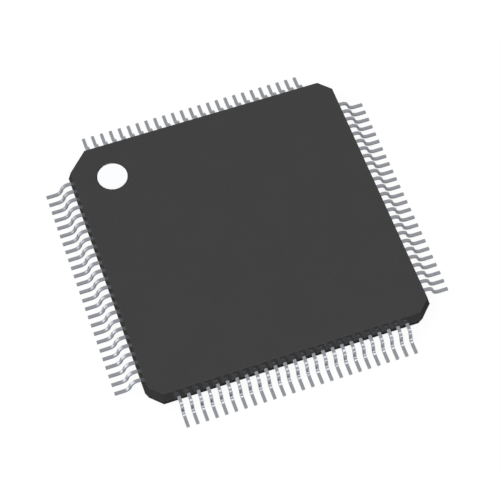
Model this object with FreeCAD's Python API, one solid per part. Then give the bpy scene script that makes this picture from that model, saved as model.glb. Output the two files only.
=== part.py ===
import FreeCAD, Part
import math
import os

# A thin quad flat pack chip: a moulded body with twenty-five gull-wing leads on each side.
# Inside it, the leads fan in to a silicon die on a sunk metal pad, and gold wires join the two.
# Millimetres. The origin is the centre of the seating plane, +Z is up and -Y is the front.
# The round mark is at the back left corner, and lead 1 is beside it on the left side.
# The leads are numbered from there round the left, front, right and back sides.

# Moulded body
body_side = 12.0  # across the parting line, where the body is widest
standoff = 0.05  # gap between the seating plane and the underside
lower_height = 0.53  # from the underside up to the parting line
upper_height = 0.47  # from the parting line up to the top face
draft_deg = 13.0  # slope of the walls, above and below the parting line
corner_chamfer = 0.56  # leg of three corners' chamfers at the parting line
mark_corner_chamfer = 0.92  # leg of the chamfer beside the mark
edge_radius = 0.03  # round on the edges of the top face
underside_radius = 0.015  # and on those of the underside

# Round mark
mark_inset = 1.705  # centre of the mark, in from the body's two nearest sides
mark_radius = 0.632
mark_thickness = 0.03
dimple_depth = 0.04
dimple_margin = 0.01  # the dimple's floor is this much wider than the mark, all round
dimple_flare = 0.03  # and its mouth is this much wider than its floor

# Leads, outside the body
lead_pitch = 0.40
corner_clearance = 1.15  # no lead's centre is nearer than this to a neighbouring side
leads_per_node = 5
lead_width = 0.13
frame_thickness = 0.10  # sheet that the leads, the pad and its tie bars are stamped from
lead_reach = 1.10  # from the parting line to the tips
shoulder_length = 0.106  # flat from the parting line to the upper bend
upper_bend_radius = 0.317  # both bends at the middle of the sheet
lower_bend_radius = 0.311
bend_deg = 73.5

# Leads, inside the body
anchor_length = 0.40  # straight part behind the parting line
finger_gap = 0.75  # from the pad's edge to the fingers' ends
finger_clearance = 0.79  # from the last finger's end to the diagonal, along the side

# Die, its pad and the glue between them
die_side = 4.8
die_thickness = 0.25
attach_thickness = 0.02
attach_margin = 0.05  # the glue shows this much all round the die
pad_margin = 0.40  # and the pad this much
pad_downset = 0.18  # the pad lies this much lower than the leads
tie_bar_width = 0.25
tie_bar_flat = 0.15  # flat part beside the pad's corner, before the tie bar rises
tie_bar_rise = 0.30  # length over which it rises to the leads' level
tie_bar_cover = 0.20  # moulding between its end and the corner's chamfer

# Bond wires
wire_diameter = 0.025
ball_diameter = 0.06
ball_height = 0.015
bond_inset = 0.12  # from the die's edge to the balls' centres
bond_clearance = 0.36  # from the last ball in a row to the die's next edge
stitch_inset = 0.15  # from the finger's end to the wire's far end
neck_height = 0.09  # from the die up to the wire's first bend
crest_height = 0.05  # from there up to its second bend
crest_reach = 0.06  # and out to it

# Worked out from the sizes above
body_half = body_side / 2
underside_z = standoff
parting_z = standoff + lower_height
top_z = parting_z + upper_height
draft = math.tan(math.radians(draft_deg))
tip_x = body_half + lead_reach
anchor_x = body_half - anchor_length
pad_side = die_side + 2 * pad_margin
finger_x = pad_side / 2 + finger_gap
leads_per_side = math.floor((body_side - 2 * corner_clearance) / lead_pitch) + 1
middle_lead = (leads_per_side - 1) / 2
finger_pitch = (finger_x - finger_clearance) / middle_lead
bond_pitch = (die_side / 2 - bond_clearance) / middle_lead
lead_top_z = parting_z + frame_thickness / 2
lead_bottom_z = parting_z - frame_thickness / 2
foot_z = frame_thickness / 2
pad_top_z = lead_top_z - pad_downset
pad_bottom_z = pad_top_z - frame_thickness
attach_top_z = pad_top_z + attach_thickness
die_top_z = attach_top_z + die_thickness

UP = FreeCAD.Vector(0, 0, 1)
CENTRE = FreeCAD.Vector(0, 0, 0)
SAME_HEIGHT = 1e-6  # heights closer than this are one height
MITRED = 1  # corner style of a swept pipe


def chamfered_square(half, chamfer, mark_chamfer, z):
    """Closed outline of a square with its four corners cut off, the back left one by mark_chamfer."""
    c, m = chamfer, mark_chamfer
    corners = [
        (-half, half - m), (-half, c - half), (c - half, -half), (half - c, -half),
        (half, c - half), (half, half - c), (half - c, half), (m - half, half),
    ]
    points = [FreeCAD.Vector(x, y, z) for x, y in corners]
    return Part.makePolygon(points + points[:1])


def inset_outline(inset, z):
    """The body's outline moved in by inset on every side, chamfers included."""
    shortening = inset * (2 - math.sqrt(2))
    return chamfered_square(
        body_half - inset, corner_chamfer - shortening, mark_corner_chamfer - shortening, z
    )


def lies_at(edge, z):
    """Whether an edge is level at height z."""
    return all(abs(end.Z - z) < SAME_HEIGHT for end in edge.Vertexes)


def make_outer_body():
    """The moulding's outside: two drafted halves that meet at the parting line."""
    parting = inset_outline(0, parting_z)
    lower = Part.makeLoft([inset_outline(lower_height * draft, underside_z), parting], True, True)
    upper = Part.makeLoft([parting, inset_outline(upper_height * draft, top_z)], True, True)
    body = lower.fuse(upper)
    for z, radius in ((underside_z, underside_radius), (top_z, edge_radius)):
        body = body.makeFillet(radius, [edge for edge in body.Edges if lies_at(edge, z)])
    return body


def mark_centre(z):
    """Centre of the round mark at height z."""
    return FreeCAD.Vector(mark_inset - body_half, body_half - mark_inset, z)


def make_dimple():
    """The shallow round recess that holds the mark, as the solid to cut away."""
    floor_radius = mark_radius + dimple_margin
    floor = mark_centre(top_z - dimple_depth)
    return Part.makeCone(floor_radius, floor_radius + dimple_flare, dimple_depth, floor, UP)


def make_mark():
    """The disc of white ink on the dimple's floor."""
    return Part.makeCylinder(mark_radius, mark_thickness, mark_centre(top_z - dimple_depth), UP)


def bend_radius(wanted):
    """A bend's radius at the middle of the sheet, limited to half of the drop to the foot."""
    turn = math.radians(bend_deg)
    half_drop = (parting_z - foot_z) / 2
    return min(wanted, half_drop / (1 - math.cos(turn)))


def make_gull_wing():
    """One lead from its anchor to its foot, along +X at y 0: a bent strip of constant thickness."""
    turn = math.radians(bend_deg)
    upper, lower = bend_radius(upper_bend_radius), bend_radius(lower_bend_radius)
    drop = parting_z - foot_z
    slope = (drop - (upper + lower) * (1 - math.cos(turn))) / math.sin(turn)
    bend_x = body_half + shoulder_length
    run = (upper + lower) * math.sin(turn) + slope * math.cos(turn)

    def around_upper(radius, angle):
        return FreeCAD.Vector(
            bend_x + radius * math.sin(angle), 0, parting_z - upper + radius * math.cos(angle)
        )

    def around_lower(radius, angle):
        return FreeCAD.Vector(
            bend_x + run - radius * math.sin(angle), 0, foot_z + lower - radius * math.cos(angle)
        )

    def side(offset):
        """Edges along one face of the strip, offset from its middle, up being positive."""
        outer, inner = upper + offset, lower - offset
        start = FreeCAD.Vector(anchor_x, 0, parting_z + offset)
        end = FreeCAD.Vector(tip_x, 0, foot_z + offset)
        return [
            Part.LineSegment(start, around_upper(outer, 0)),
            Part.Arc(
                around_upper(outer, 0), around_upper(outer, turn / 2), around_upper(outer, turn)
            ),
            Part.LineSegment(around_upper(outer, turn), around_lower(inner, turn)),
            Part.Arc(
                around_lower(inner, turn), around_lower(inner, turn / 2), around_lower(inner, 0)
            ),
            Part.LineSegment(around_lower(inner, 0), end),
        ]

    over, under = side(frame_thickness / 2), side(-frame_thickness / 2)
    ends = [
        Part.LineSegment(over[0].StartPoint, under[0].StartPoint),
        Part.LineSegment(over[-1].EndPoint, under[-1].EndPoint),
    ]
    outline = Part.Wire(Part.__sortEdges__([g.toShape() for g in over + under + ends]))
    strip = Part.Face(outline).extrude(FreeCAD.Vector(0, lead_width, 0))
    strip.translate(FreeCAD.Vector(0, -lead_width / 2, 0))
    return strip


def lead_y(place):
    """Across-the-side place of a lead outside the body, on the side that faces +X."""
    return (place - middle_lead) * lead_pitch


def finger_y(place):
    """Across-the-side place of a lead's inner end."""
    return (place - middle_lead) * finger_pitch


def make_lead(place, gull_wing):
    """A whole lead on the side that faces +X: the gull wing and the finger that fans in."""
    half = lead_width / 2
    corners = [
        (anchor_x, lead_y(place) - half), (anchor_x, lead_y(place) + half),
        (finger_x, finger_y(place) + half), (finger_x, finger_y(place) - half),
    ]
    points = [FreeCAD.Vector(x, y, lead_bottom_z) for x, y in corners]
    finger = Part.Face(Part.makePolygon(points + points[:1])).extrude(UP * frame_thickness)
    wing = gull_wing.copy()
    wing.translate(FreeCAD.Vector(0, lead_y(place), 0))
    return wing.fuse(finger).removeSplitter().Solids[0]


def make_wire(place):
    """One bond wire on the side that faces +X: ball, neck, crest and the run down to its finger."""
    ball = FreeCAD.Vector(
        die_side / 2 - bond_inset, (place - middle_lead) * bond_pitch, die_top_z
    )
    finger_run = FreeCAD.Vector(anchor_x - finger_x, lead_y(place) - finger_y(place), 0)
    share = stitch_inset / finger_run.Length
    stitch = FreeCAD.Vector(finger_x, finger_y(place), lead_top_z) + finger_run * share
    across = FreeCAD.Vector(stitch.x - ball.x, stitch.y - ball.y, 0).normalize()
    neck = ball + UP * neck_height
    crest = neck + UP * crest_height + across * crest_reach
    past = stitch + (stitch - crest)  # well below the finger's face, where the wire is cut off

    section = Part.Wire([Part.makeCircle(wire_diameter / 2, ball, UP)])
    strand = Part.makePolygon([ball, neck, crest, past]).makePipeShell(
        [section], True, False, MITRED
    )
    above = Part.makeBox(
        body_side, body_side, upper_height, FreeCAD.Vector(-body_half, -body_half, lead_top_z)
    )
    bond = Part.makeCylinder(ball_diameter / 2, ball_height, ball, UP)
    return strand.common(above).fuse(bond).Solids[0]


def slab(side, thickness, z):
    """A square plate centred on the body's axis, with its underside at height z."""
    return Part.makeBox(side, side, thickness, FreeCAD.Vector(-side / 2, -side / 2, z))


def make_tie_bar(chamfer):
    """A tie bar along +X from inside the pad: flat, then rising to the leads' level."""
    corner = pad_side / math.sqrt(2)
    start = corner - tie_bar_width
    foot = corner + tie_bar_flat
    head = foot + tie_bar_rise
    end = body_side / math.sqrt(2) - chamfer / math.sqrt(2) - tie_bar_cover
    low, high = pad_bottom_z, lead_bottom_z
    under = [(start, low), (foot, low), (head, high), (end, high)]
    over = [(x, z + frame_thickness) for x, z in reversed(under)]
    points = [FreeCAD.Vector(x, 0, z) for x, z in under + over]
    bar = Part.Face(Part.makePolygon(points + points[:1])).extrude(
        FreeCAD.Vector(0, tie_bar_width, 0)
    )
    bar.translate(FreeCAD.Vector(0, -tie_bar_width / 2, 0))
    return bar


def make_pad():
    """The sunk pad under the die, with a tie bar running out to each corner."""
    bars = []
    for angle, chamfer in (
        (45, corner_chamfer), (135, mark_corner_chamfer), (225, corner_chamfer), (315, corner_chamfer)
    ):
        bar = make_tie_bar(chamfer)
        bar.rotate(CENTRE, UP, angle)
        bars.append(bar)
    return slab(pad_side, frame_thickness, pad_bottom_z).fuse(bars).removeSplitter().Solids[0]


def round_the_sides(shapes):
    """Copies of one side's shapes for all four sides, in the order of the leads' numbers."""
    placed = []
    for angle in (180, 270, 0, 90):
        for shape in shapes:
            turned = shape.copy()
            turned.rotate(CENTRE, UP, angle)
            placed.append(turned)
    return placed


def numbered(name, shapes):
    """Groups of leads_per_node shapes, each under a name that gives its first and last number."""
    groups = {}
    for first in range(0, len(shapes), leads_per_node):
        group = shapes[first:first + leads_per_node]
        groups[f"{name}_{first + 1:03d}_to_{first + len(group):03d}"] = Part.makeCompound(group)
    return groups


def make_all():
    """Every node of the chip, by name."""
    gull_wing = make_gull_wing()
    places = range(leads_per_side)
    leads = round_the_sides([make_lead(place, gull_wing) for place in places])
    wires = round_the_sides([make_wire(place) for place in places])
    pad = make_pad()
    attach = slab(die_side + 2 * attach_margin, attach_thickness, pad_top_z)
    die = slab(die_side, die_thickness, attach_top_z)
    mark = make_mark()
    body = make_outer_body().cut([make_dimple(), pad, attach, die] + leads + wires).Solids[0]
    nodes = {
        "moulded_body": body,
        "pin_one_mark": mark,
        "die_pad": pad,
        "die_attach": attach,
        "silicon_die": die,
    }
    nodes.update(numbered("leads", leads))
    nodes.update(numbered("bond_wires", wires))
    return nodes


os.makedirs("parts", exist_ok=True)
for node, shape in make_all().items():
    shape.exportStep(f"parts/{node}.step")
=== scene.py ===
import logging
import math
from dataclasses import dataclass
from enum import Enum

import bmesh
import bpy
from mathutils import Euler, Matrix, Vector


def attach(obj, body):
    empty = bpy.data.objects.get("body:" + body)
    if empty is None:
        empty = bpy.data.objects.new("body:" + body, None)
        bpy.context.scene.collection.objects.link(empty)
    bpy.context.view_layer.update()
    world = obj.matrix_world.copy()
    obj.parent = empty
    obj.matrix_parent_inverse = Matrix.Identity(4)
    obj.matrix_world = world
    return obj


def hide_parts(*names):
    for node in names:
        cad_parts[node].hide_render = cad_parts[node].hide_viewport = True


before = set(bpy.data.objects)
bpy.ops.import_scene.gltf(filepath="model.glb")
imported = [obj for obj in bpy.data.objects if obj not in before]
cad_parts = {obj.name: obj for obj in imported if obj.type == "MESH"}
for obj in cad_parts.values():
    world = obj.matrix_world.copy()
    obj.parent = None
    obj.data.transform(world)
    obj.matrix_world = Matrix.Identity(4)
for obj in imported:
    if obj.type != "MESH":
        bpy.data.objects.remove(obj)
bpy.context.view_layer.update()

# A thin quad flat pack chip: a moulded body with twenty-five gull-wing leads on each side.
# The sizes in the classes are millimetres, and mm() turns them into the frame's metres.
# +Z is up, -Y is the front, and the round mark is at the back left corner.

RGB = tuple[float, float, float]
XYZ = tuple[float, float, float]
XY = tuple[float, float]
Range = tuple[float, float]
Socket = bpy.types.NodeSocket
Ring = list[bmesh.types.BMVert]

log = logging.getLogger("quad_flat_pack")
BODY = "root"
BLACK: RGB = (0.0, 0.0, 0.0)
WHITE: RGB = (1.0, 1.0, 1.0)
SHEARED_EDGE = "sheared_edge"  # the face attribute of the leads' cut edges
MIX_NUMBERS = (2, 3, 0)  # the Mix node's two inputs and its output, for numbers
MIX_COLOURS = (6, 7, 2)  # the same, for colours
LEVEL = 1e-8  # points lie level when their heights in metres differ by less
ENLARGED = 1000.0  # areas are too small to be weighed in metres, so normals are weighed at this scale
NORMAL_WEIGHT = 60


def mm(value: float) -> float:
    """Millimetres as metres."""
    return value * 0.001


def point(x: float, y: float, z: float) -> Vector:
    """A place given in millimetres, as a vector in metres."""
    return Vector((mm(x), mm(y), mm(z)))


def show(thing: bpy.types.Object) -> bpy.types.Object:
    """Puts an object into the scene and gives it back."""
    bpy.context.scene.collection.objects.link(thing)
    return thing


class Slot(Enum):
    """The record's material slots."""

    MOULD = "mould_compound"
    PLATING = "lead_plating"
    INK = "marking_ink"
    COPPER = "pad_copper"
    GLUE = "attach_glue"
    SILICON = "silicon"
    GOLD = "bond_gold"


class Side(Enum):
    """The four rows of leads, in the order of their numbers, by the turn that brings +X to that side."""

    LEFT = 180.0
    FRONT = 270.0
    RIGHT = 0.0
    BACK = 90.0


class NodeTools:
    """The steps that every node tree here is built with."""

    def __init__(self, tree: bpy.types.NodeTree) -> None:
        """Keeps the tree.

        Args:
            tree: The tree to build in.
        """
        self.tree = tree

    def add(self, kind: str, **settings: object) -> bpy.types.Node:
        """Adds a node.

        Args:
            kind: The node's type.
            settings: Values for the node's own properties.

        Returns:
            The node.
        """
        made = self.tree.nodes.new(kind)
        for key, value in settings.items():
            setattr(made, key, value)
        return made

    def feed(self, target: Socket, value: object) -> None:
        """Joins a socket to an input, or gives the input a plain value.

        Args:
            target: The input.
            value: The socket or the value.
        """
        if isinstance(value, Socket):
            self.tree.links.new(value, target)
        else:
            target.default_value = value

    def sum(self, operation: str, *values: object, clamp: bool = False) -> Socket:
        """Works out one number.

        Args:
            operation: The sum, such as ADD.
            values: Its numbers or their sockets.
            clamp: Whether the result is kept between 0 and 1.

        Returns:
            The socket of the result.
        """
        made = self.add("ShaderNodeMath", operation=operation, use_clamp=clamp)
        for target, value in zip(made.inputs, values):
            self.feed(target, value)
        return made.outputs[0]

    def ramp(self, source: Socket, between: Range, low: float, high: float, kind: str = "LINEAR") -> Socket:
        """Brings a value from one range to another.

        Args:
            source: The value.
            between: The values that give low and high.
            low: The result at the first of them.
            high: The result at the second.
            kind: How it runs between them.

        Returns:
            The socket of the result.
        """
        made = self.add("ShaderNodeMapRange", interpolation_type=kind)
        start, end = between
        values = {"Value": source, "From Min": start, "From Max": end, "To Min": low, "To Max": high}
        for key, value in values.items():
            self.feed(made.inputs[key], value)
        return made.outputs["Result"]

    def pick(self, share: object, first: object, second: object) -> Socket:
        """Mixes two numbers.

        Args:
            share: The second number's share, or its socket.
            first: A number, or the socket of one.
            second: A number, or the socket of one.

        Returns:
            The socket of the mixed number.
        """
        low, high, result = MIX_NUMBERS
        made = self.add("ShaderNodeMix", data_type="FLOAT")
        self.feed(made.inputs["Factor"], share)
        self.feed(made.inputs[low], first)
        self.feed(made.inputs[high], second)
        return made.outputs[result]


# Materials


class ShaderGraph(NodeTools):
    """The nodes of one material, around its Principled shader."""

    MIDDLE_HALF: Range = (0.25, 0.75)

    def __init__(self, name: str) -> None:
        """Makes the material.

        Args:
            name: The material's name.
        """
        self.material = bpy.data.materials.new(name)
        self.material.use_nodes = True
        super().__init__(self.material.node_tree)
        self.shader = self.tree.nodes["Principled BSDF"]
        self.place = self.add("ShaderNodeTexCoord").outputs["Object"]

    def set(self, **values: object) -> None:
        """Sets the shader's own sockets, named with underscores for spaces."""
        for key, value in values.items():
            self.shader.inputs[key.replace("_", " ")].default_value = value

    def noise(self, grain: float, detail: float = 2.0, stretch: XYZ = (1.0, 1.0, 1.0)) -> Socket:
        """Cloudy noise that is fixed to the piece.

        Args:
            grain: The size of its clouds, in millimetres.
            detail: How many finer layers it has.
            stretch: How much finer it is along each axis.

        Returns:
            The socket of its value, about 0.5 on average.
        """
        mapping = self.add("ShaderNodeMapping")
        texture = self.add("ShaderNodeTexNoise")
        self.feed(mapping.inputs["Scale"], stretch)
        self.feed(mapping.inputs["Vector"], self.place)
        self.feed(texture.inputs["Vector"], mapping.outputs["Vector"])
        self.feed(texture.inputs["Scale"], 1 / mm(grain))
        self.feed(texture.inputs["Detail"], detail)
        return texture.outputs["Fac"]

    def cells(self, spacing: float) -> Socket:
        """The distance to the nearest of many scattered specks.

        Args:
            spacing: The spacing of the specks, in millimetres.

        Returns:
            The socket of the distance, 0 at a speck.
        """
        texture = self.add("ShaderNodeTexVoronoi")
        self.feed(texture.inputs["Scale"], 1 / mm(spacing))
        self.feed(texture.inputs["Vector"], self.place)
        return texture.outputs["Distance"]

    def spread(self, source: Socket, low: float, high: float, between: Range = MIDDLE_HALF) -> Socket:
        """Brings a value to a range, by default from the middle half of a noise.

        Args:
            source: The value.
            low: The result at the first of the two values in between.
            high: The result at the second.
            between: The values that give low and high.

        Returns:
            The socket of the result.
        """
        return self.ramp(source, between, low, high)

    def mix(self, share: Socket, first: Socket | RGB, second: Socket | RGB) -> Socket:
        """Mixes two colours.

        Args:
            share: The socket of the second colour's share.
            first: A colour, or the socket of one.
            second: A colour, or the socket of one.

        Returns:
            The socket of the mixed colour.
        """
        low, high, result = MIX_COLOURS
        made = self.add("ShaderNodeMix", data_type="RGBA")
        self.feed(made.inputs["Factor"], share)
        for place, colour in ((low, first), (high, second)):
            self.feed(made.inputs[place], colour if isinstance(colour, Socket) else (*colour, 1.0))
        return made.outputs[result]

    def colour(self, source: Socket) -> None:
        """Gives the shader its colour."""
        self.feed(self.shader.inputs["Base Color"], source)

    def roughness(self, source: Socket) -> None:
        """Gives the shader its roughness."""
        self.feed(self.shader.inputs["Roughness"], source)

    def coat(self, source: Socket) -> None:
        """Gives the shader the weight of its clear coat."""
        self.feed(self.shader.inputs["Coat Weight"], source)

    def bump(self, *layers: tuple[Socket, float]) -> None:
        """Gives the surface its fine relief.

        Args:
            layers: Each layer's height and its depth in millimetres.
        """
        below = None
        for height, depth in layers:
            relief = self.add("ShaderNodeBump")
            self.feed(relief.inputs["Distance"], mm(depth))
            self.feed(relief.inputs["Height"], height)
            if below is not None:
                self.feed(relief.inputs["Normal"], below)
            below = relief.outputs["Normal"]
        self.feed(self.shader.inputs["Normal"], below)


@dataclass(frozen=True)
class MouldCompound:
    """Black filled epoxy: matte and even on top, with painted shade that makes the walls darker and the faces
    turned down darker still; the walls also show the mould's polish.
    """

    top: RGB = (0.0500, 0.0500, 0.0500)
    # The wall and under colours are painted shade: the top's tone darkened where the faces turn away from the
    # light above.
    wall: RGB = (0.0352, 0.0352, 0.0362)
    under: RGB = (0.0220, 0.0220, 0.0226)
    speck: RGB = (0.0620, 0.0620, 0.0630)
    facing_up: Range = (0.45, 0.95)
    facing_down: Range = (-0.20, 0.10)
    filler_grain: float = 0.045
    filler_detail: float = 3.0
    filler_depth: float = 0.0016
    filler_shade: float = 0.10
    cloud: float = 1.3
    cloud_shade: float = 0.05
    speck_spacing: float = 0.090
    speck_reach: Range = (0.10, 0.32)
    speck_share: float = 0.14
    top_roughness: Range = (0.60, 0.72)
    wall_roughness: Range = (0.40, 0.52)
    top_polish: float = 0.10
    wall_polish: float = 0.80

    def material(self) -> bpy.types.Material:
        """Makes the finish.

        Returns:
            The material.
        """
        g = ShaderGraph("mould_compound")
        g.set(Specular_IOR_Level=0.0, Coat_Roughness=0.0)
        facing = g.add("ShaderNodeSeparateXYZ")
        g.feed(facing.inputs["Vector"], g.add("ShaderNodeNewGeometry").outputs["Normal"])
        upward = g.spread(facing.outputs["Z"], 0.0, 1.0, self.facing_up)
        painted_under_share = g.spread(facing.outputs["Z"], 1.0, 0.0, self.facing_down)
        grain = g.noise(self.filler_grain, self.filler_detail)
        clouds = g.noise(self.cloud, self.filler_detail)
        specks = g.cells(self.speck_spacing)
        # Painted shade: the colour goes darker on the walls and darker still on faces that look down.
        shaded_by_facing = g.mix(painted_under_share, g.mix(upward, self.wall, self.top), self.under)
        clouded = g.mix(g.spread(clouds, 0.0, self.cloud_shade), shaded_by_facing, BLACK)
        mottled = g.mix(g.spread(grain, 0.0, self.filler_shade), clouded, BLACK)
        g.colour(g.mix(g.spread(specks, self.speck_share, 0.0, self.speck_reach), mottled, self.speck))
        wall, top = g.spread(grain, *self.wall_roughness), g.spread(grain, *self.top_roughness)
        g.roughness(g.pick(upward, wall, top))
        g.coat(g.spread(upward, self.wall_polish, self.top_polish, (0.0, 1.0)))
        g.bump((grain, self.filler_depth), (clouds, self.filler_depth))
        return g.material


@dataclass(frozen=True)
class LeadPlating:
    """Matte tin over stamped copper alloy, duller on the sheared edges."""

    tin: RGB = (0.290, 0.304, 0.329)
    shade: RGB = (0.257, 0.269, 0.292)
    sheared: RGB = (0.221, 0.231, 0.251)
    grazing: RGB = (0.95, 0.95, 0.95)
    crystal: float = 0.018
    crystal_depth: float = 0.00006
    blotch: float = 0.16
    shade_share: float = 0.35
    roughness: Range = (0.18, 0.20)
    sheared_roughness: Range = (0.34, 0.44)

    def material(self) -> bpy.types.Material:
        """Makes the finish.

        Returns:
            The material.
        """
        g = ShaderGraph("lead_plating")
        g.set(Metallic=1.0, Specular_Tint=(*self.grazing, 1.0))
        crystals = g.noise(self.crystal)
        blotches = g.noise(self.blotch)
        cut = g.add("ShaderNodeAttribute", attribute_name=SHEARED_EDGE).outputs["Fac"]
        tinned = g.mix(g.spread(blotches, 0.0, self.shade_share), self.tin, self.shade)
        g.colour(g.mix(cut, tinned, self.sheared))
        smooth, torn = g.spread(blotches, *self.roughness), g.spread(crystals, *self.sheared_roughness)
        g.roughness(g.pick(cut, smooth, torn))
        g.bump((crystals, self.crystal_depth))
        return g.material


@dataclass(frozen=True)
class MarkingInk:
    """White marking ink, printed as one soft thick spot."""

    ink: RGB = (0.853, 0.860, 0.876)
    thin: RGB = (0.812, 0.819, 0.836)
    thin_share: float = 0.18
    gloss: float = 0.35
    pigment: float = 0.03
    pigment_depth: float = 0.0006
    ripple: float = 0.22
    ripple_depth: float = 0.004
    roughness: Range = (0.42, 0.55)

    def material(self) -> bpy.types.Material:
        """Makes the finish.

        Returns:
            The material.
        """
        g = ShaderGraph("marking_ink")
        g.set(Specular_IOR_Level=self.gloss)
        pigment = g.noise(self.pigment)
        ripple = g.noise(self.ripple)
        g.colour(g.mix(g.spread(ripple, 0.0, self.thin_share), self.ink, self.thin))
        g.roughness(g.spread(pigment, *self.roughness))
        g.bump((ripple, self.ripple_depth), (pigment, self.pigment_depth))
        return g.material


@dataclass(frozen=True)
class PadCopper:
    """Copper alloy strip with the fine lines of its rolling and a few darker tarnished spots."""

    bright: RGB = (0.79, 0.42, 0.27)
    tarnish: RGB = (0.55, 0.25, 0.14)
    line: float = 0.02
    line_stretch: XYZ = (0.03, 1.0, 1.0)
    line_depth: float = 0.0008
    spot: float = 0.6
    spot_detail: float = 3.0
    spot_rim: Range = (0.45, 0.70)
    roughness: Range = (0.22, 0.38)

    def material(self) -> bpy.types.Material:
        """Makes the finish.

        Returns:
            The material.
        """
        g = ShaderGraph("pad_copper")
        g.set(Metallic=1.0)
        lines = g.noise(self.line, stretch=self.line_stretch)
        spots = g.noise(self.spot, self.spot_detail)
        g.colour(g.mix(g.spread(spots, 0.0, 1.0, self.spot_rim), self.bright, self.tarnish))
        g.roughness(g.spread(lines, *self.roughness))
        g.bump((lines, self.line_depth))
        return g.material


@dataclass(frozen=True)
class AttachGlue:
    """Silver-filled glue: a grey paste with flakes in it."""

    paste: RGB = (0.34, 0.34, 0.35)
    flake: RGB = (0.62, 0.62, 0.63)
    flake_spacing: float = 0.03
    flake_reach: Range = (0.10, 0.50)
    flake_share: float = 0.8
    flake_depth: float = 0.002
    swirl: float = 0.25
    swirl_depth: float = 0.004
    roughness: Range = (0.35, 0.60)

    def material(self) -> bpy.types.Material:
        """Makes the finish.

        Returns:
            The material.
        """
        g = ShaderGraph("attach_glue")
        flakes = g.cells(self.flake_spacing)
        swirl = g.noise(self.swirl)
        g.colour(g.mix(g.spread(flakes, self.flake_share, 0.0, self.flake_reach), self.paste, self.flake))
        g.roughness(g.spread(swirl, *self.roughness))
        g.bump((flakes, self.flake_depth), (swirl, self.swirl_depth))
        return g.material


@dataclass(frozen=True)
class Silicon:
    """Polished silicon with blocks of fine circuitry under its glassy coat."""

    field: RGB = (0.055, 0.062, 0.085)
    block: RGB = (0.110, 0.085, 0.120)
    grid: RGB = (0.200, 0.190, 0.150)
    metal: float = 0.7
    block_size: float = 2.2
    block_width: float = 0.62
    block_height: float = 0.34
    block_gap: float = 0.02
    block_depth: float = 0.001
    track: float = 0.05
    track_stretch: XYZ = (1.0, 0.1, 1.0)
    track_share: float = 0.35
    roughness: Range = (0.10, 0.20)

    def material(self) -> bpy.types.Material:
        """Makes the finish.

        Returns:
            The material.
        """
        g = ShaderGraph("silicon")
        g.set(Metallic=self.metal)
        blocks = g.add("ShaderNodeTexBrick", offset=0.37, squash=0.6, squash_frequency=3)
        values = {
            "Vector": g.place, "Scale": 1 / mm(self.block_size), "Mortar Size": self.block_gap,
            "Brick Width": self.block_width, "Row Height": self.block_height, "Color1": (*self.field, 1.0),
            "Color2": (*self.block, 1.0), "Mortar": (*self.grid, 1.0),
        }
        for key, value in values.items():
            g.feed(blocks.inputs[key], value)
        tracks = g.noise(self.track, stretch=self.track_stretch)
        g.colour(g.mix(g.spread(tracks, 0.0, self.track_share), blocks.outputs["Color"], self.grid))
        g.roughness(g.spread(tracks, *self.roughness))
        g.bump((blocks.outputs["Fac"], self.block_depth))
        return g.material


@dataclass(frozen=True)
class BondGold:
    """Drawn gold wire, with faint die lines along it."""

    bright: RGB = (0.91, 0.66, 0.25)
    deep: RGB = (0.76, 0.49, 0.15)
    deep_share: float = 0.7
    line: float = 0.02
    line_depth: float = 0.0004
    roughness: Range = (0.16, 0.28)

    def material(self) -> bpy.types.Material:
        """Makes the finish.

        Returns:
            The material.
        """
        g = ShaderGraph("bond_gold")
        g.set(Metallic=1.0)
        lines = g.noise(self.line)
        g.colour(g.mix(g.spread(lines, 0.0, self.deep_share), self.bright, self.deep))
        g.roughness(g.spread(lines, *self.roughness))
        g.bump((lines, self.line_depth))
        return g.material


# Pieces


def ring(bm: bmesh.types.BMesh, middle: XY, height: float, radius: float, steps: int) -> Ring:
    """A level circle of loose vertices.

    Args:
        bm: The mesh that gets them.
        middle: The circle's centre, in millimetres.
        height: Its height, in millimetres.
        radius: Its radius, in millimetres.
        steps: How many vertices it has.

    Returns:
        The vertices, anticlockwise seen from above.
    """
    x, y = middle
    turns = [2 * math.pi * i / steps for i in range(steps)]
    return [bm.verts.new(point(x + radius * math.cos(a), y + radius * math.sin(a), height)) for a in turns]


def join_rings(bm: bmesh.types.BMesh, rings: list[Ring]) -> None:
    """Joins rings, each to the next, by four-sided faces.

    Args:
        bm: The mesh that gets the faces.
        rings: The rings, with equally many vertices.
    """
    for near, far in zip(rings, rings[1:]):
        for i in range(len(near)):
            j = (i + 1) % len(near)
            bm.faces.new((near[i], near[j], far[j], far[i]))


def closed_mesh(bm: bmesh.types.BMesh, name: str, sharp_deg: float) -> bpy.types.Mesh:
    """Ends a closed shape: its faces point outwards and shade smooth, but for the sharp edges.

    Args:
        bm: The shape, which is used up.
        name: The mesh's name.
        sharp_deg: The angle from which an edge is sharp.

    Returns:
        The mesh.
    """
    bmesh.ops.recalc_face_normals(bm, faces=bm.faces)
    for face in bm.faces:
        face.smooth = True
    for edge in bm.edges:
        edge.smooth = edge.calc_face_angle(0.0) < math.radians(sharp_deg)
    mesh = bpy.data.meshes.new(name)
    bm.to_mesh(mesh)
    bm.free()
    return mesh


def evaluated(host: bpy.types.Object) -> bpy.types.Mesh:
    """Gives what an object's modifiers make, as a plain mesh.

    Args:
        host: The object, which is used up.

    Returns:
        The mesh.
    """
    graph = bpy.context.evaluated_depsgraph_get()
    made = bpy.data.meshes.new_from_object(host.evaluated_get(graph), depsgraph=graph)
    host.modifiers.clear()
    bpy.data.objects.remove(host)
    return made


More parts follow.
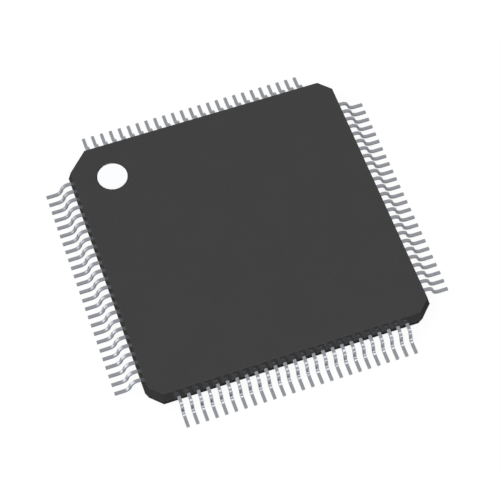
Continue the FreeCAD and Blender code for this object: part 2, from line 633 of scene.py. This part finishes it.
def even_normals(mesh: bpy.types.Mesh) -> bpy.types.Mesh:
    """Weights the normals by the faces' areas, so that a flat face shades flat right up to its rounded edges.

    Args:
        mesh: The mesh, which is used up.

    Returns:
        A mesh of the same shape with the weighted normals.
    """
    mesh.transform(Matrix.Scale(ENLARGED, 4))
    host = show(bpy.data.objects.new("host", mesh))
    even = host.modifiers.new("even_normals", "WEIGHTED_NORMAL")
    even.keep_sharp = True
    even.weight = NORMAL_WEIGHT
    even.thresh = 0.0
    made = evaluated(host)
    made.transform(Matrix.Scale(1 / ENLARGED, 4))
    return made


def finish_piece(
    name: str, mesh: bpy.types.Mesh, material: bpy.types.Material, slot: Slot, nodes: list[str]
) -> bpy.types.Object:
    """Puts a finished mesh into the scene as a piece that stands for CAD nodes.

    The leads show in one another and in the polished walls. As in the photograph, nothing mirrors the body.

    Args:
        name: The piece's name.
        mesh: Its mesh, in place.
        material: Its material.
        slot: The record's slot for its finish.
        nodes: The CAD nodes that it stands for.

    Returns:
        The piece.
    """
    mesh = even_normals(mesh)
    mesh.name = name
    mesh.materials.clear()
    mesh.materials.append(material)
    piece = show(bpy.data.objects.new(name, mesh))
    piece.visible_glossy = slot is Slot.PLATING
    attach(piece, BODY)
    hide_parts(*nodes)
    log.info("%s: %d faces, stands for %s", name, len(mesh.polygons), ", ".join(nodes))
    return piece


@dataclass
class MouldedBody:
    """The moulded block: two drafted halves that meet at the parting line, with cut corners and a dimple."""

    half: float = 6.0
    underside: float = 0.05
    parting: float = 0.58
    top: float = 1.05
    draft_deg: float = 13.0
    chamfer: float = 0.56
    mark_chamfer: float = 0.92
    top_round: float = 0.03
    bottom_round: float = 0.015
    rim_steps: int = 4
    corner_round: float = 0.02
    corner_steps: int = 3
    flash: float = 0.006
    flash_height: float = 0.02
    mark_at: XY = (-4.295, 4.295)
    mouth_radius: float = 0.672
    mouth_round: float = 0.008
    mouth_turns: tuple[float, ...] = (0.0, 0.4, 0.8, 1.2)
    dimple_radius: float = 0.642
    dimple_depth: float = 0.04
    dimple_round: float = 0.0016
    ejector_at: float = 3.9
    ejector_radius: float = 0.60
    ejector_rings: tuple[XY, ...] = ((0.0, 0.0), (0.012, 0.0105), (0.03, 0.015))  # inset, rise
    circle_steps: int = 72
    sharp_deg: float = 40.0

    def outline(self, inset: float) -> list[XY]:
        """The corners of the body's outline, anticlockwise.

        Args:
            inset: How far every side is moved in from the parting line's outline.

        Returns:
            Eight corners in millimetres.
        """
        shorter = inset * (2 - math.sqrt(2))
        h = self.half - inset
        c = self.chamfer - shorter
        m = self.mark_chamfer - shorter
        left_and_front = [(-h, h - m), (-h, c - h), (c - h, -h), (h - c, -h)]
        right_and_back = [(h, c - h), (h, h - c), (h - c, h), (m - h, h)]
        return left_and_front + right_and_back

    def levels(self) -> list[XY]:
        """The rings of corners, from the underside up, with the moulding flash between the halves.

        Returns:
            Each ring's inset and height, in millimetres.
        """
        slope = math.tan(math.radians(self.draft_deg))
        edge = self.flash_height / 2
        return [
            ((self.parting - self.underside) * slope, self.underside),
            (edge * slope, self.parting - edge),
            (-self.flash, self.parting - edge / 2),
            (-self.flash, self.parting + edge / 2),
            (edge * slope, self.parting + edge),
            ((self.top - self.parting) * slope, self.top),
        ]

    def round_off(
        self, bm: bmesh.types.BMesh, edges: list[bmesh.types.BMEdge], radius: float, steps: int
    ) -> None:
        """Rounds edges of the block.

        Args:
            bm: The block.
            edges: The edges.
            radius: How far the rounding reaches, in millimetres.
            steps: How many faces it has across.
        """
        shape = {"offset_type": "OFFSET", "profile": 0.5, "affect": "EDGES"}
        bmesh.ops.bevel(bm, geom=edges, offset=mm(radius), segments=steps, **shape)

    def block(self) -> bmesh.types.BMesh:
        """Makes the closed block with its rounded rims and corners.

        Returns:
            The block, with no wells yet.
        """
        bm = bmesh.new()
        rings = [[bm.verts.new(point(x, y, z)) for x, y in self.outline(inset)] for inset, z in self.levels()]
        join_rings(bm, rings)
        bm.faces.new(list(reversed(rings[0])))
        bm.faces.new(rings[-1])
        bm.normal_update()
        tall = mm(self.flash_height)
        corners = [e for e in bm.edges if abs(e.verts[0].co.z - e.verts[1].co.z) > tall]
        self.round_off(bm, corners, self.corner_round, self.corner_steps)
        for z, radius in ((self.underside, self.bottom_round), (self.top, self.top_round)):
            rim = [e for e in bm.edges if all(abs(v.co.z - mm(z)) < LEVEL for v in e.verts)]
            self.round_off(bm, rim, radius, self.rim_steps)
        return bm

    def sink(self, bm: bmesh.types.BMesh, height: float, wells: list[list[Ring]]) -> None:
        """Opens round wells in the underside or the top.

        Args:
            bm: The block.
            height: The face's height, in millimetres.
            wells: Each well's rings of vertices, from its mouth to its floor.
        """
        level = [f for f in bm.faces if abs(f.calc_center_median().z - mm(height)) < LEVEL]
        face = max(level, key=lambda f: f.calc_area())
        rim = list(face.edges)
        bmesh.ops.delete(bm, geom=[face], context="FACES_ONLY")
        for rings in wells:
            mouth = rings[0]
            rim += [bm.edges.new((a, b)) for a, b in zip(mouth, mouth[1:] + mouth[:1])]
        bmesh.ops.triangle_fill(bm, use_beauty=True, use_dissolve=False, edges=rim)
        for rings in wells:
            join_rings(bm, rings)
            bm.faces.new(rings[-1])

    def dimple(self, bm: bmesh.types.BMesh) -> list[Ring]:
        """The mark's dimple: a rounded lip, a flared wall and a floor.

        Args:
            bm: The block.

        Returns:
            Its rings, from the mouth down.
        """
        r, depth = self.mouth_round, self.dimple_depth
        lip = [(self.mouth_radius + r * (1 - math.sin(a)), r * (1 - math.cos(a))) for a in self.mouth_turns]
        foot = [(self.dimple_radius + r, depth - self.dimple_round), (self.dimple_radius, depth)]
        steps = self.circle_steps
        return [ring(bm, self.mark_at, self.top - down, radius, steps) for radius, down in lip + foot]

    def ejector_marks(self, bm: bmesh.types.BMesh) -> list[list[Ring]]:
        """The shallow round marks of the mould's ejector pins, on the underside.

        Args:
            bm: The block.

        Returns:
            The rings of each mark, from its mouth up.
        """
        signs = (-1, 1)
        places = [(self.ejector_at * across, self.ejector_at * along) for across in signs for along in signs]
        return [
            [
                ring(bm, place, self.underside + up, self.ejector_radius - inset, self.circle_steps)
                for inset, up in self.ejector_rings
            ]
            for place in places
        ]

    def build(self, finish: MouldCompound) -> bpy.types.Object:
        """Builds and dresses the block.

        Args:
            finish: The moulding's finish.

        Returns:
            The piece.
        """
        bm = self.block()
        self.sink(bm, self.top, [self.dimple(bm)])
        self.sink(bm, self.underside, self.ejector_marks(bm))
        mesh = closed_mesh(bm, "mould_block", self.sharp_deg)
        return finish_piece("mould_block", mesh, finish.material(), Slot.MOULD, ["moulded_body"])


@dataclass
class PinOneMark:
    """The spot of ink in the dimple: flat in the middle, with a soft raised bead inside its rounded edge."""

    body: MouldedBody
    radius: float = 0.632
    thickness: float = 0.03
    edge_turns: tuple[float, ...] = (0.0, 0.5, 1.0, math.pi / 2)
    dish: tuple[XY, ...] = ((0.532, 0.0021), (0.482, 0.006), (0.3192, 0.0048), (0.133, 0.0033))  # radius, dip
    steps: int = 96
    sharp_deg: float = 50.0

    def profile(self) -> list[XY]:
        """The spot's rings, from the foot of its edge to its middle.

        Returns:
            Each ring's radius and height, in millimetres.
        """
        floor = self.body.top - self.body.dimple_depth
        high = floor + self.thickness
        edge = self.thickness / 2
        rim, shoulder = self.radius - edge, high - edge
        rounded = [(rim + edge * math.cos(a), shoulder + edge * math.sin(a)) for a in self.edge_turns]
        return [(self.radius, floor), *rounded, *((radius, high - dip) for radius, dip in self.dish)]

    def build(self, finish: MarkingInk) -> bpy.types.Object:
        """Builds and dresses the spot.

        Args:
            finish: The ink.

        Returns:
            The piece.
        """
        bm = bmesh.new()
        rings = [ring(bm, self.body.mark_at, height, radius, self.steps) for radius, height in self.profile()]
        join_rings(bm, rings)
        bm.faces.new(rings[-1])
        bm.faces.new(list(reversed(rings[0])))
        mesh = closed_mesh(bm, "ink_spot", self.sharp_deg)
        return finish_piece("ink_spot", mesh, finish.material(), Slot.INK, ["pin_one_mark"])


class GeometryTree(NodeTools):
    """A Geometry Nodes tree with named inputs."""

    def __init__(self, name: str) -> None:
        """Makes the tree.

        Args:
            name: The tree's name.
        """
        super().__init__(bpy.data.node_groups.new(name, "GeometryNodeTree"))
        for way in ("INPUT", "OUTPUT"):
            self.tree.interface.new_socket("Geometry", in_out=way, socket_type="NodeSocketGeometry")
        self.identifiers: dict[str, str] = {}
        self.entry = self.add("NodeGroupInput")
        self.exit = self.add("NodeGroupOutput")

    def given(self, name: str, kind: str = "Float") -> Socket:
        """Adds a named input, or finds it again.

        Args:
            name: The input's name.
            kind: Float, Int or Material.

        Returns:
            The socket of its value.
        """
        if name not in self.identifiers:
            made = self.tree.interface.new_socket(name, in_out="INPUT", socket_type=f"NodeSocket{kind}")
            self.identifiers[name] = made.identifier
        return next(s for s in self.entry.outputs if s.identifier == self.identifiers[name])

    def node(self, kind: str, settings: dict[str, object] | None = None, **inputs: object) -> bpy.types.Node:
        """Adds a geometry node and fills its inputs.

        Args:
            kind: The node's type, without its prefix GeometryNode.
            settings: Values for the node's own properties.
            inputs: A value or a socket for each input, named with underscores for spaces.

        Returns:
            The node.
        """
        made = self.add(f"GeometryNode{kind}", **(settings or {}))
        for key, value in inputs.items():
            self.feed(made.inputs[key.replace("_", " ")], value)
        return made

    def out(self, kind: str, settings: dict[str, object] | None = None, **inputs: object) -> Socket:
        """Adds a node as node() does, and gives its first output."""
        return self.node(kind, settings, **inputs).outputs[0]

    def vector(self, *values: object) -> Socket:
        """Puts three numbers together.

        Args:
            values: The x, the y and the z, or their sockets.

        Returns:
            The socket of the vector.
        """
        made = self.add("ShaderNodeCombineXYZ")
        for target, value in zip(made.inputs, values):
            self.feed(target, value)
        return made.outputs[0]

    def by_index(self, kind: str, values: list[object]) -> Socket:
        """Gives each point of a line the value at its own place in a list.

        Args:
            kind: FLOAT or VECTOR.
            values: One value or socket for each point.

        Returns:
            The socket of the value.
        """
        made = self.node("IndexSwitch", {"data_type": kind})
        while len(made.index_switch_items) < len(values):
            made.index_switch_items.new()
        self.feed(made.inputs["Index"], self.out("InputIndex"))
        for i, value in enumerate(values):
            self.feed(made.inputs[str(i)], value)
        return made.outputs[0]

    def finish(self, geometry: Socket, material: Socket) -> None:
        """Ends the tree with Realize Instances and Set Material."""
        whole = self.out("RealizeInstances", Geometry=geometry)
        self.feed(self.exit.inputs["Geometry"], self.out("SetMaterial", Geometry=whole, Material=material))

    def mesh(self, values: dict[str, object]) -> bpy.types.Mesh:
        """Runs the tree and gives its result as a plain mesh.

        Args:
            values: The value of each named input.

        Returns:
            The mesh.
        """
        host = show(bpy.data.objects.new("host", bpy.data.meshes.new("host")))
        modifier = host.modifiers.new("tree", "NODES")
        modifier.node_group = self.tree
        for name, value in values.items():
            modifier[self.identifiers[name]] = value
        return evaluated(host)


@dataclass
class GullWingLeads:
    """One hundred stamped leads, bent to gull wings outside the body and fanned in to the die inside it."""

    body: MouldedBody
    per_side: int = 25
    per_piece: int = 5
    pitch: float = 0.40
    finger_pitch: float = 0.23
    width: float = 0.13
    thickness: float = 0.10
    edge_round: float = 0.012
    shoulder: float = 0.106
    tip: float = 7.10
    anchor: float = 5.60
    finger_end: float = 3.55
    upper_radius: float = 0.317
    lower_radius: float = 0.311
    bend_deg: float = 73.5
    bend_steps: int = 10
    round_steps: int = 2

    def sizes(self) -> dict[str, float]:
        """The lengths that the tree asks for, measured along the middle of the sheet.

        Returns:
            Each named length, in millimetres.
        """
        high, low = self.body.parting, self.thickness / 2
        bend = math.radians(self.bend_deg)
        upper_corner = self.body.half + self.shoulder + self.upper_radius * math.tan(bend / 2)
        return {
            "Parting Height": high,
            "Foot Height": low,
            "Finger End": self.finger_end,
            "Anchor": self.anchor,
            "Upper Corner": upper_corner,
            "Lower Corner": upper_corner + (high - low) / math.tan(bend),
            "Tip": self.tip,
            "Upper Bend Radius": self.upper_radius,
            "Lower Bend Radius": self.lower_radius,
            "Lead Width": self.width,
            "Sheet Thickness": self.thickness,
            "Edge Round": self.edge_round,
            "Lead Pitch": self.pitch,
        }

    def path(self, t: GeometryTree) -> Socket:
        """The line that one lead follows along +X, from its finger to its tip, with both bends.

        Args:
            t: The tree.

        Returns:
            The socket of the curve.
        """
        high, low = t.given("Parting Height"), t.given("Foot Height")
        level = [("Finger End", high), ("Anchor", high), ("Upper Corner", high)]
        runs = [*level, ("Lower Corner", low), ("Tip", low)]
        places = t.by_index("VECTOR", [t.vector(t.given(name), 0.0, z) for name, z in runs])
        line = t.out("MeshToCurve", Mesh=t.out("MeshLine", Count=len(runs)))
        corners = t.out("SetPosition", Geometry=line, Position=places)
        upper, lower = t.given("Upper Bend Radius"), t.given("Lower Bend Radius")
        radii = t.by_index("FLOAT", [0.0, 0.0, upper, lower, 0.0])
        steps = t.given("Bend Steps", "Int")
        bent = t.out("FilletCurve", {"mode": "POLY"}, Curve=corners, Count=steps, Radius=radii)
        return t.out("SetCurveNormal", {"mode": "Z_UP"}, Curve=bent)

    def strip(self, t: GeometryTree, y: Socket) -> Socket:
        """One lead: the sheet's section swept along the path, with its sheared sides marked.

        Args:
            t: The tree.
            y: The socket of a point's own Y.

        Returns:
            The socket of the mesh.
        """
        width, thickness, rounding = t.given("Lead Width"), t.given("Sheet Thickness"), t.given("Edge Round")
        sheet = t.out("CurvePrimitiveQuadrilateral", Width=width, Height=thickness)
        steps = t.given("Round Steps", "Int")
        section = t.out("FilletCurve", {"mode": "POLY"}, Curve=sheet, Count=steps, Radius=rounding)
        lead = t.out("CurveToMesh", Curve=self.path(t), Profile_Curve=section, Fill_Caps=True)
        flat_half = t.sum("SUBTRACT", t.sum("MULTIPLY", width, 0.5), rounding)
        sheared = t.sum("GREATER_THAN", t.sum("ABSOLUTE", y), flat_half)
        on_faces = {"data_type": "FLOAT", "domain": "FACE"}
        return t.out("StoreNamedAttribute", on_faces, Geometry=lead, Name=SHEARED_EDGE, Value=sheared)

    def tree(self) -> GeometryTree:
        """Makes the tree that repeats one lead along a row, fans the fingers in and turns the row.

        Returns:
            The tree.
        """
        t = GeometryTree("gull_wing_leads")
        here = t.add("ShaderNodeSeparateXYZ")
        t.feed(here.inputs[0], t.out("InputPosition"))
        x, y, _ = here.outputs
        lead = self.strip(t, y)
        first, pitch, count = t.given("First Lead"), t.given("Lead Pitch"), t.given("Leads", "Int")
        begin, step = t.vector(0.0, first, 0.0), t.vector(0.0, pitch, 0.0)
        marked = t.node("CaptureAttribute")
        marked.capture_items.new("FLOAT", "lead_place")
        t.feed(marked.inputs["Geometry"], t.out("MeshLine", Count=count, Start_Location=begin, Offset=step))
        t.feed(marked.inputs["lead_place"], y)
        row = t.out("InstanceOnPoints", Points=marked.outputs["Geometry"], Instance=lead)
        row = t.out("RealizeInstances", Geometry=row)
        anchor, finger_end = t.given("Anchor"), t.given("Finger End")
        inside, reach = t.sum("SUBTRACT", anchor, x), t.sum("SUBTRACT", anchor, finger_end)
        inward = t.sum("DIVIDE", inside, reach, clamp=True)
        closer = t.sum("SUBTRACT", t.given("Finger Spread"), 1.0)
        shift = t.sum("MULTIPLY", t.sum("MULTIPLY", closer, marked.outputs["lead_place"]), inward)
        fanned = t.out("SetPosition", Geometry=row, Offset=t.vector(0.0, shift, 0.0))
        turned = t.out("Transform", Geometry=fanned, Rotation=t.vector(0.0, 0.0, t.given("Side Turn")))
        t.finish(t.out("SetShadeSmooth", Geometry=turned), t.given("Plating", "Material"))
        return t

    def build(self, finish: LeadPlating) -> list[bpy.types.Object]:
        """Builds and dresses all four rows.

        Args:
            finish: The plating.

        Returns:
            The pieces, in the order of the leads' numbers.
        """
        tree, plating = self.tree(), finish.material()
        shared: dict[str, object] = {name: mm(size) for name, size in self.sizes().items()}
        shared |= {"Bend Steps": self.bend_steps, "Round Steps": self.round_steps, "Leads": self.per_piece}
        shared |= {"Finger Spread": self.finger_pitch / self.pitch, "Plating": plating}
        pieces = []
        for row, side in enumerate(Side):
            for start in range(0, self.per_side, self.per_piece):
                first = (start - (self.per_side - 1) / 2) * self.pitch
                mesh = tree.mesh(shared | {"First Lead": mm(first), "Side Turn": math.radians(side.value)})
                number = row * self.per_side + start + 1
                span = f"{number:03d}_to_{number + self.per_piece - 1:03d}"
                name, nodes = f"plated_leads_{span}", [f"leads_{span}"]
                pieces.append(finish_piece(name, mesh, plating, Slot.PLATING, nodes))
        return pieces


@dataclass
class InnerParts:
    """What the moulding hides: the pad, the glue, the die and the bond wires, all kept as CAD made them."""

    pad: PadCopper = PadCopper()
    glue: AttachGlue = AttachGlue()
    die: Silicon = Silicon()
    wires: BondGold = BondGold()
    wire_nodes: str = "bond_wires"

    def build(self) -> list[bpy.types.Object]:
        """Dresses the CAD nodes.

        Returns:
            The dressed nodes.
        """
        coats = {
            "die_pad": (self.pad.material(), Slot.COPPER),
            "die_attach": (self.glue.material(), Slot.GLUE),
            "silicon_die": (self.die.material(), Slot.SILICON),
        }
        gold = self.wires.material()
        wires = [name for name in sorted(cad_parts) if name.startswith(self.wire_nodes)]
        coats |= {name: (gold, Slot.GOLD) for name in wires}
        for name, (material, slot) in coats.items():
            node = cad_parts[name]
            node.data.materials.clear()
            node.data.materials.append(material)
            node.visible_glossy = False
            log.info("%s: dressed in %s", name, material.name)
        return [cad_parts[name] for name in coats]


# Studio


@dataclass(frozen=True)
class Lamp:
    """A long soft lamp in front of the chip, placed by the direction it shines from."""

    name: str
    towards: XYZ
    high: float
    brightness: float
    aim: XYZ = (0.0, -6.5, 0.3)
    distance: float = 200.0
    wide: float = 260.0

    def build(self) -> bpy.types.Object:
        """Makes the lamp.

        Returns:
            The lamp.
        """
        light = bpy.data.lights.new(self.name, "AREA")
        light.shape = "RECTANGLE"
        light.size, light.size_y = mm(self.wide), mm(self.high)
        light.energy = self.brightness * math.pi * light.size * light.size_y
        lamp = show(bpy.data.objects.new(self.name, light))
        out = Vector(self.towards).normalized()
        lamp.rotation_mode = "QUATERNION"
        lamp.rotation_quaternion = (-out).to_track_quat("-Z", "Y")
        lamp.location = point(*self.aim) + out * mm(self.distance)
        lamp.visible_camera = False
        return lamp


class NodeBench(NodeTools):
    """An empty node tree for the floor or the room."""

    def __init__(self, owner: bpy.types.Material | bpy.types.World) -> None:
        """Clears the owner's tree.

        Args:
            owner: The material or world.
        """
        owner.use_nodes = True
        super().__init__(owner.node_tree)
        self.owner = owner
        self.tree.nodes.clear()

    def shader(self, kind: str, **inputs: object) -> Socket:
        """Adds a surface or a background.

        Args:
            kind: The node's type, without its prefix ShaderNode.
            inputs: A value or a socket for each input.

        Returns:
            The socket of its shader.
        """
        made = self.add(f"ShaderNode{kind}")
        for key, value in inputs.items():
            self.feed(made.inputs[key], value)
        return made.outputs[0]

    def fade(self, source: Socket, start: float, end: float, low: float, high: float) -> Socket:
        """A ramp from low at start to high at end, with soft ends."""
        return self.ramp(source, (start, end), low, high, "SMOOTHSTEP")

    def blend(self, share: Socket | float, first: Socket, second: Socket) -> Socket:
        """Mixes two surfaces.

        Args:
            share: The second one's share, or its socket.
            first: The socket of a surface.
            second: The socket of a surface.

        Returns:
            The socket of the mixed surface.
        """
        made = self.add("ShaderNodeMixShader")
        for target, value in zip(made.inputs, (share, first, second)):
            self.feed(target, value)
        return made.outputs[0]

    def path(self, ray: str) -> Socket:
        """Whether the light's path is of one kind, such as Is Camera Ray."""
        return self.add("ShaderNodeLightPath").outputs[ray]

    def mirrored(self) -> Socket:
        """Whether metal or glass shows this point."""
        return self.sum("MAXIMUM", self.path("Is Glossy Ray"), self.path("Is Transmission Ray"))


@dataclass
class Studio:
    """A white room with a pale floor: even light, two long lamps in front and a soft glow at the left."""

    floor_side: float = 1000.0
    floor_drop: float = 0.002
    floor_colour: RGB = (0.25, 0.25, 0.25)
    shadow_share: float = 0.08
    white: float = 1.0
    sky_left: float = 1.40
    sky_right: float = 0.20
    glow: float = 3.0
    glow_front_deg: Range = (-60.0, -20.0)
    glow_back_deg: Range = (17.0, 40.0)
    glow_rise_deg: float = 16.0
    glow_reach_deg: float = 84.0
    glow_spill: float = 0.35
    polish: float = 0.045

    def lamps(self) -> list[Lamp]:
        """The lamps, each placed so that the leads' bends show it where the photograph does.

        Returns:
            The lamp at the top of the bends and the one at their foot.
        """
        return [
            Lamp("high_strip", (0.161, -0.530, 0.833), high=60.0, brightness=2.5),
            Lamp("low_strip", (0.161, -0.977, 0.135), high=42.0, brightness=2.8),
        ]

    def floor(self) -> bpy.types.Object:
        """The floor, which shows the camera white and keeps the chip's shadow.

        Mirrored in metal, it is as bright as the room around it.

        Returns:
            The floor.
        """
        bm = bmesh.new()
        middle = Matrix.Translation(point(0, 0, -self.floor_drop))
        bmesh.ops.create_grid(bm, x_segments=1, y_segments=1, size=mm(self.floor_side) / 2, matrix=middle)
        mesh = bpy.data.meshes.new("floor")
        bm.to_mesh(mesh)
        bm.free()
        floor = show(bpy.data.objects.new("floor", mesh))
        g = NodeBench(bpy.data.materials.new("floor"))
        lit_white = g.shader("BsdfDiffuse", Color=(*WHITE, 1.0))
        shown = g.blend(self.shadow_share, g.shader("Emission", Strength=self.white), lit_white)
        pale = g.shader("BsdfDiffuse", Color=(*self.floor_colour, 1.0))
        unseen = g.blend(g.mirrored(), pale, g.shader("BsdfTransparent"))
        surface = g.blend(g.path("Is Camera Ray"), unseen, shown)
        g.feed(g.add("ShaderNodeOutputMaterial").inputs["Surface"], surface)
        mesh.materials.append(g.owner)
        return floor

    def room(self) -> bpy.types.World:
        """The room's light: white for the camera, a fall from left to right, and the glow.

        A sharp mirror, such as the polish of the moulded walls, shows little of it.

        Returns:
            The world.
        """
        g = NodeBench(bpy.data.worlds.new("studio"))
        place = g.add("ShaderNodeSeparateXYZ")
        g.feed(place.inputs[0], g.add("ShaderNodeTexCoord").outputs["Generated"])
        x, y, z = place.outputs
        turn = g.sum("ARCTAN2", y, g.sum("MULTIPLY", x, -1.0))
        rise = g.sum("ABSOLUTE", g.sum("SUBTRACT", g.sum("ARCSINE", z), math.radians(self.glow_rise_deg)))
        front = g.fade(turn, *map(math.radians, self.glow_front_deg), 0.0, 1.0)
        back = g.fade(turn, *map(math.radians, self.glow_back_deg), 1.0, 0.0)
        level = g.fade(rise, 0.0, math.radians(self.glow_reach_deg), 1.0, 0.0)
        around = g.sum("MULTIPLY", g.sum("MULTIPLY", front, back), level)
        glow = g.sum("MULTIPLY", around, self.glow)
        even = g.ramp(x, (-1.0, 1.0), self.sky_left, self.sky_right)
        spill = g.sum("ADD", even, g.sum("MULTIPLY", glow, self.glow_spill))
        shown = g.pick(g.path("Is Singular Ray"), g.sum("ADD", glow, self.white), self.polish)
        seen = g.pick(g.mirrored(), spill, shown)
        strength = g.pick(g.path("Is Camera Ray"), seen, self.white)
        sky = g.shader("Background", Color=(*WHITE, 1.0), Strength=strength)
        g.feed(g.add("ShaderNodeOutputWorld").inputs["Surface"], sky)
        return g.owner

    def build(self) -> None:
        """Makes the room, its floor and its lamps."""
        scene = bpy.context.scene
        scene.world = self.room()
        scene.view_settings.view_transform = "Standard"
        self.floor()
        for lamp in self.lamps():
            lamp.build()
            log.info("%s: lamp in place", lamp.name)


@dataclass
class PhotoCamera:
    """The photograph's viewpoint, fitted to the outline of the chip in it."""

    stand: XYZ = (-11.833, -34.366, 63.205)
    heading_deg: float = 19.384
    down_deg: float = 60.319
    roll_deg: float = -0.060
    lens: float = 126.84
    sensor: float = 36.0
    near: float = 1.0
    far: float = 5000.0

    def build(self) -> bpy.types.Object:
        """Makes the camera and gives it to the scene.

        Returns:
            The camera.
        """
        data = bpy.data.cameras.new("photo_camera")
        data.lens, data.sensor_width = self.lens, self.sensor
        data.clip_start, data.clip_end = mm(self.near), mm(self.far)
        camera = show(bpy.data.objects.new("photo_camera", data))
        turn = Euler((math.radians(90 - self.down_deg), 0.0, math.radians(-self.heading_deg))).to_matrix()
        camera.location = point(*self.stand)
        camera.rotation_euler = (turn @ Matrix.Rotation(math.radians(self.roll_deg), 3, "Z")).to_euler()
        bpy.context.scene.camera = camera
        return camera


def main() -> None:
    """Builds the studio, the camera and every piece."""
    logging.basicConfig(level=logging.INFO, format="%(name)s %(message)s")
    Studio().build()
    PhotoCamera().build()
    body = MouldedBody()
    body.build(MouldCompound())
    PinOneMark(body).build(MarkingInk())
    GullWingLeads(body).build(LeadPlating())
    InnerParts().build()


if __name__ == "__main__":
    main()
